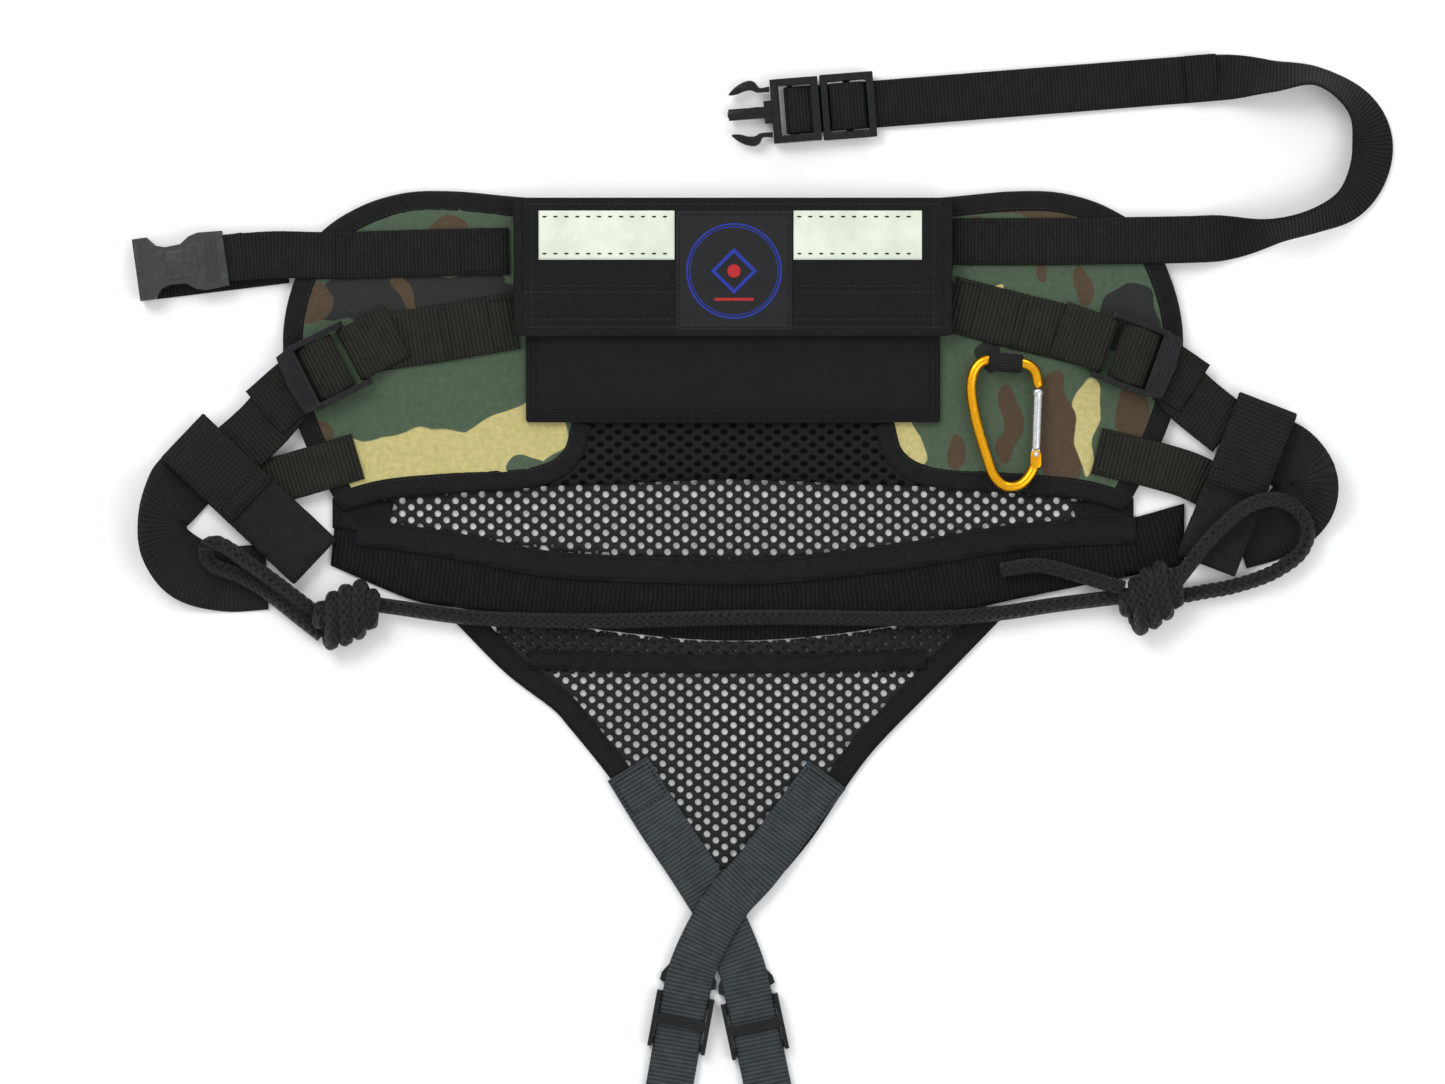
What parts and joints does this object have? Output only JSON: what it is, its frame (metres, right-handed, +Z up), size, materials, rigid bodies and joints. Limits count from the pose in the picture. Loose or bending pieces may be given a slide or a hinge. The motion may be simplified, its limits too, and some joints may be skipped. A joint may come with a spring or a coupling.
{
  "type": "canicross hip belt",
  "caption": "Padded waist belt laid flat, outer side up: pocket with flap, camouflage wings, mesh seat, crossing leg straps, buckles, hip adjusters, tow rope and a carabiner.",
  "frame": {"origin": "on the surface that the belt lies on, under the middle of the waist panel's back pad", "axes": "+X along the waist to the right-hand wing seen from above, +Y to the panel's top edge, +Z up, out of the pocket's face"},
  "size_m": [0.6702, 0.6085, 0.0262],
  "materials": {
    "spacer_mesh": "matte",
    "camo_cloth": "matte",
    "binding_tape": "matte",
    "pocket_nylon": "satin",
    "hook_and_loop": "matte",
    "reflective_tape": "satin",
    "emblem_print": "matte",
    "open_mesh": "matte",
    "webbing": "matte",
    "leg_webbing": "matte",
    "buckle_plastic": "satin",
    "rope": "matte",
    "gold_anodised": "satin",
    "bare_steel": "polished"
  },
  "bodies": {
    "belt": {"back_pad": "spacer_mesh", "wing_binding_left": "binding_tape", "wing_cloth_left": "camo_cloth", "wing_binding_right": "binding_tape", "wing_cloth_right": "camo_cloth", "pocket_body": "pocket_nylon", "loop_strip": "hook_and_loop", "seat_mesh_upper": "open_mesh", "seat_webbing": "webbing", "seat_band": "binding_tape", "triangle_binding_left": "binding_tape", "triangle_binding_right": "binding_tape", "seat_mesh_lower": "open_mesh", "triangle_band": "binding_tape", "leg_strap_left": "leg_webbing", "leg_strap_right": "leg_webbing", "waist_strap_left": "webbing", "buckle_backing": "webbing", "female_buckle": "buckle_plastic", "waist_strap_right": "webbing", "male_buckle": "buckle_plastic", "diagonal_strap_left": "webbing", "hip_strap_left": "webbing", "hip_tail_left": "webbing", "diagonal_strap_right": "webbing", "hip_strap_right": "webbing", "hip_tail_right": "webbing", "hip_loop_left": "webbing", "hip_fold_left": "webbing", "side_tab_left": "webbing", "seat_curl_left": "webbing", "hip_loop_right": "webbing", "hip_fold_right": "webbing", "side_tab_right": "webbing", "seat_curl_right": "webbing", "tow_rope": "rope", "rope_loop_left": "rope", "rope_loop_right": "rope", "rope_tail": "rope", "rope_knot_left": "rope", "rope_knot_right": "rope", "carabiner_loop": "webbing"},
    "flap": {"pocket_flap": "pocket_nylon", "hook_strip": "hook_and_loop", "reflective_strip_left": "reflective_tape", "reflective_strip_right": "reflective_tape", "emblem_patch": "emblem_print"},
    "glide": {"tri_glide": "buckle_plastic", "glide_hump": "webbing"},
    "prong_upper": {"buckle_prong_upper": "buckle_plastic"},
    "prong_lower": {"buckle_prong_lower": "buckle_plastic"},
    "adjuster_left": {"slider_left": "buckle_plastic", "slider_hump_left": "webbing"},
    "adjuster_right": {"slider_right": "buckle_plastic", "slider_hump_right": "webbing"},
    "leg_buckle_l": {"leg_buckle_left": "buckle_plastic"},
    "leg_buckle_r": {"leg_buckle_right": "buckle_plastic"},
    "carabiner": {"carabiner_body": "gold_anodised", "gate_pin": "bare_steel"},
    "gate": {"carabiner_gate": "bare_steel"}
  },
  "joints": [
    {"name": "flap_hinge", "type": "hinge", "parent": "belt", "child": "flap", "pos_m": [0, 0.106, 0.017], "axis": [-1, 0, 0], "range_deg": [0, 150]},
    {"name": "glide_slide", "type": "slide", "parent": "belt", "child": "glide", "axis": [0.9969, 0.0785, 0], "range_m": [0, 0.15]},
    {"name": "prong_upper_flex", "type": "hinge", "parent": "belt", "child": "prong_upper", "pos_m": [0.0193, 0.16492, 0.0051], "axis": [0, 0, 1], "range_deg": [0, 9], "stiffness_Nm_per_rad": 0.05},
    {"name": "prong_lower_flex", "type": "hinge", "parent": "belt", "child": "prong_lower", "pos_m": [0.02118, 0.14099, 0.0051], "axis": [0, 0, -1], "range_deg": [0, 9], "stiffness_Nm_per_rad": 0.05},
    {"name": "slider_tilt_left", "type": "hinge", "parent": "belt", "child": "adjuster_left", "pos_m": [-0.20096, 0.02467, 0.0101], "axis": [-0.454, 0.891, 0], "range_deg": [0, 40]},
    {"name": "slider_tilt_right", "type": "hinge", "parent": "belt", "child": "adjuster_right", "pos_m": [0.19709, 0.02916, 0.0101], "axis": [-0.342, -0.9397, 0], "range_deg": [0, 40]},
    {"name": "leg_buckle_slide_left", "type": "slide", "parent": "belt", "child": "leg_buckle_l", "axis": [0.2095, -0.9778, 0], "range_m": [0, 0.012]},
    {"name": "leg_buckle_slide_right", "type": "slide", "parent": "belt", "child": "leg_buckle_r", "axis": [-0.1789, -0.9839, 0], "range_m": [0, 0.012]},
    {"name": "carabiner_swing", "type": "hinge", "parent": "belt", "child": "carabiner", "pos_m": [0.1445, 0.0198, 0.0114], "axis": [-0.9962, 0.0866, 0], "range_deg": [0, 150]},
    {"name": "gate_hinge", "type": "hinge", "parent": "carabiner", "child": "gate", "pos_m": [0.1606, -0.029, 0.0114], "axis": [0, 0, 1], "range_deg": [0, 22], "stiffness_Nm_per_rad": 0.02}
  ],
  "couplings": [
    {"joint": "prong_lower_flex", "follows": "prong_upper_flex", "ratio": 1}
  ]
}
